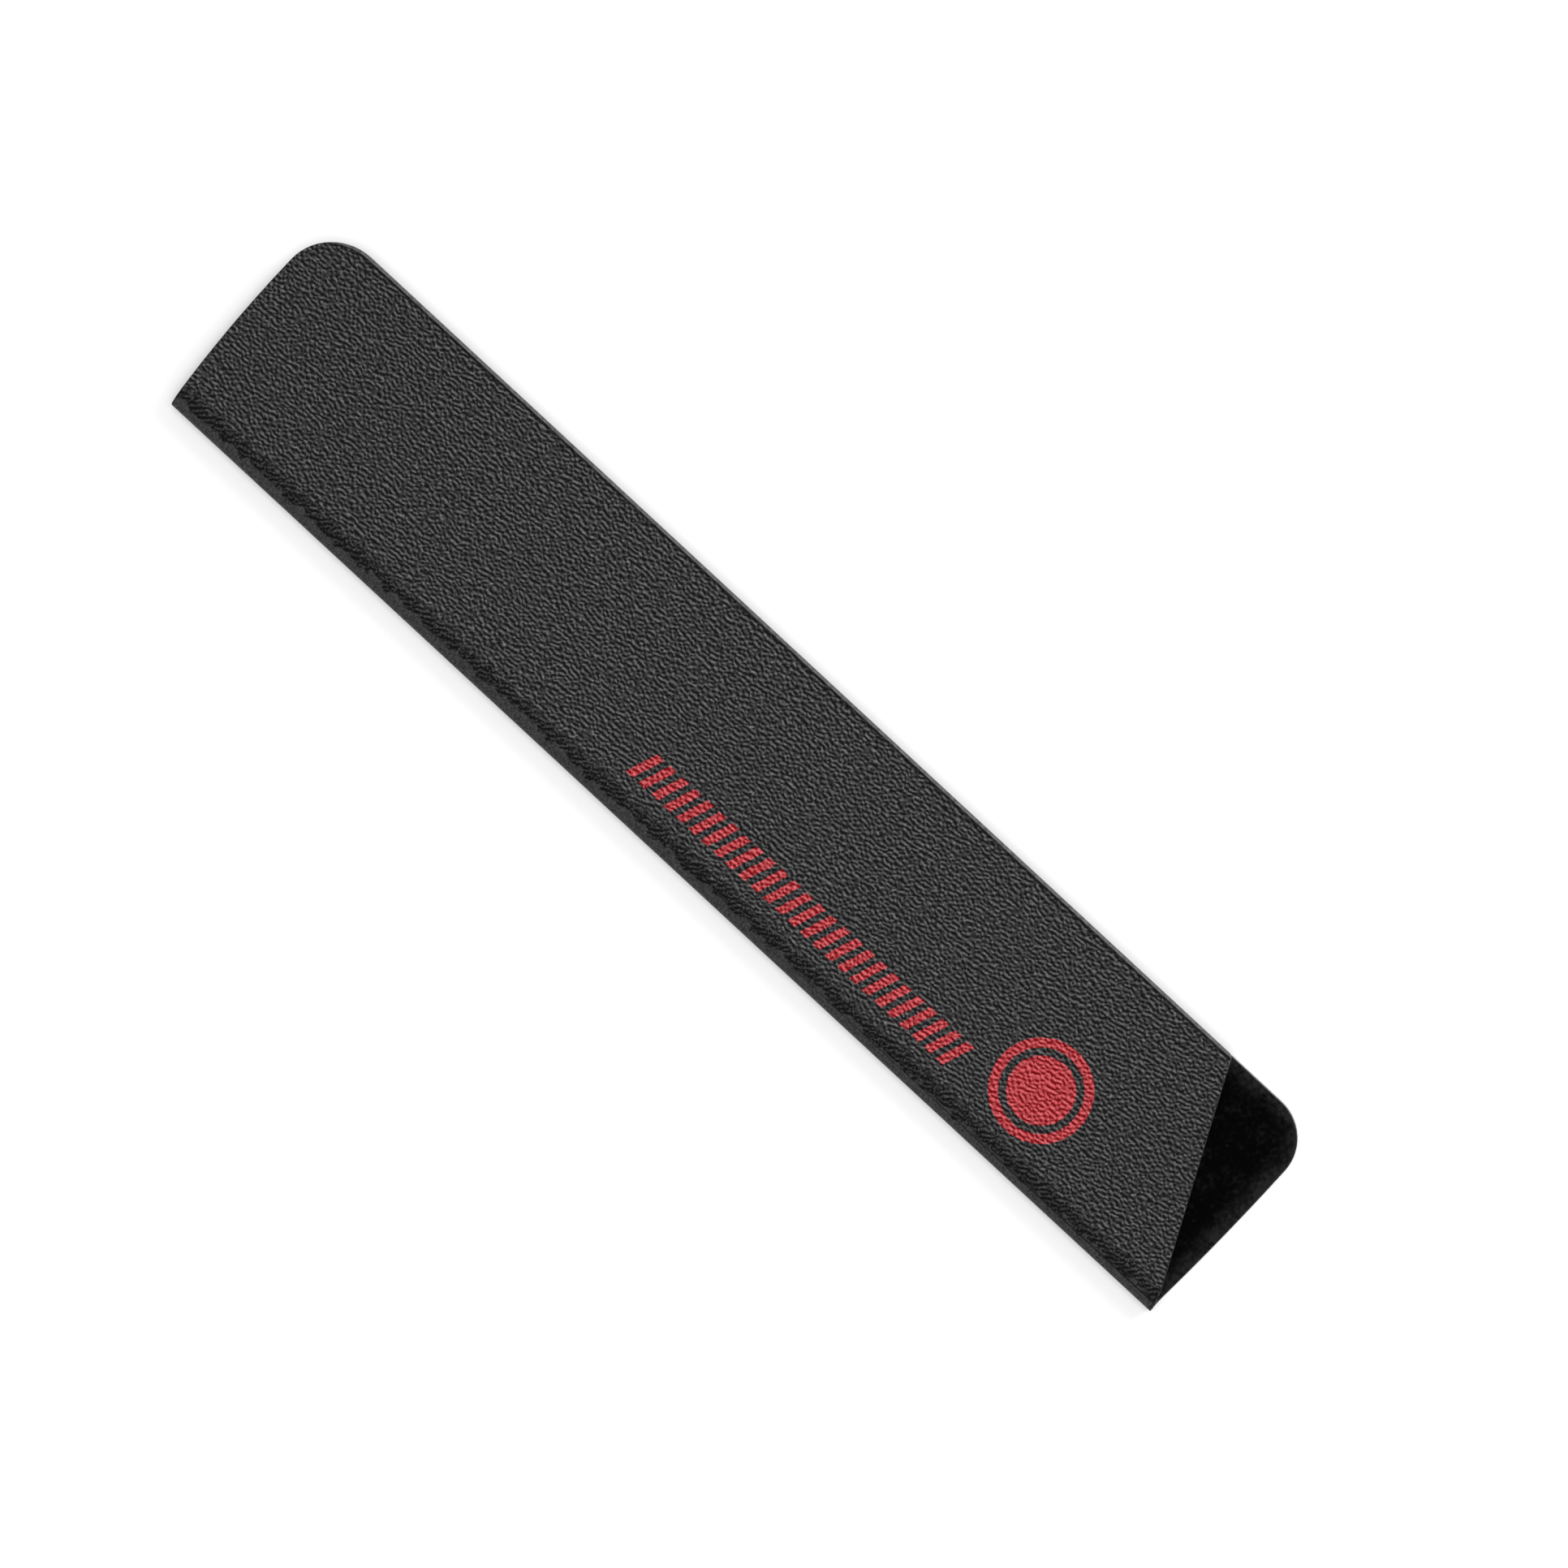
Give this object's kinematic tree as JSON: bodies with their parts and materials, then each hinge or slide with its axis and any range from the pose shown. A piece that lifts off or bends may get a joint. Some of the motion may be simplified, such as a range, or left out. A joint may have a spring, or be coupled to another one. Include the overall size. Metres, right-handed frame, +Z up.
{
  "type": "knife blade guard",
  "caption": "Folded sheath of leather-grained plastic with a flock lining and a flexible magnet in each leaf, opening like a book round a kitchen knife blade.",
  "frame": {"origin": "centre of the closed guard's footprint, on the outer face of the back leaf that it lies on", "axes": "+X along the fold from the tip end to the mouth, +Y from the fold to the open long edge, +Z up through the closed guard to the front leaf"},
  "size_m": [0.216, 0.039, 0.0046],
  "materials": {
    "embossed_sheet": "black, embossed with a wavy leather grain, satin",
    "flock_lining": "short black flock",
    "flexible_magnet": "matt dark brown-black"
  },
  "bodies": {
    "back": {"back_leaf": "embossed_sheet", "back_lining": "flock_lining", "back_magnet": "flexible_magnet"},
    "spine": {"fold_spine": "embossed_sheet", "fold_lining": "flock_lining"},
    "front": {"front_leaf": "embossed_sheet", "front_lining": "flock_lining", "front_magnet": "flexible_magnet"}
  },
  "joints": [
    {"name": "back_fold", "type": "hinge", "parent": "back", "child": "spine", "pos_m": [0, -0.01891, 0.00059], "axis": [1, 0, 0], "range_deg": [0, 90], "stiffness_Nm_per_rad": 0.002},
    {"name": "front_fold", "type": "hinge", "parent": "spine", "child": "front", "pos_m": [0, -0.01891, 0.00401], "axis": [1, 0, 0], "range_deg": [0, 90], "stiffness_Nm_per_rad": 0.002}
  ],
  "couplings": [
    {"joint": "front_fold", "follows": "back_fold", "ratio": 1}
  ]
}
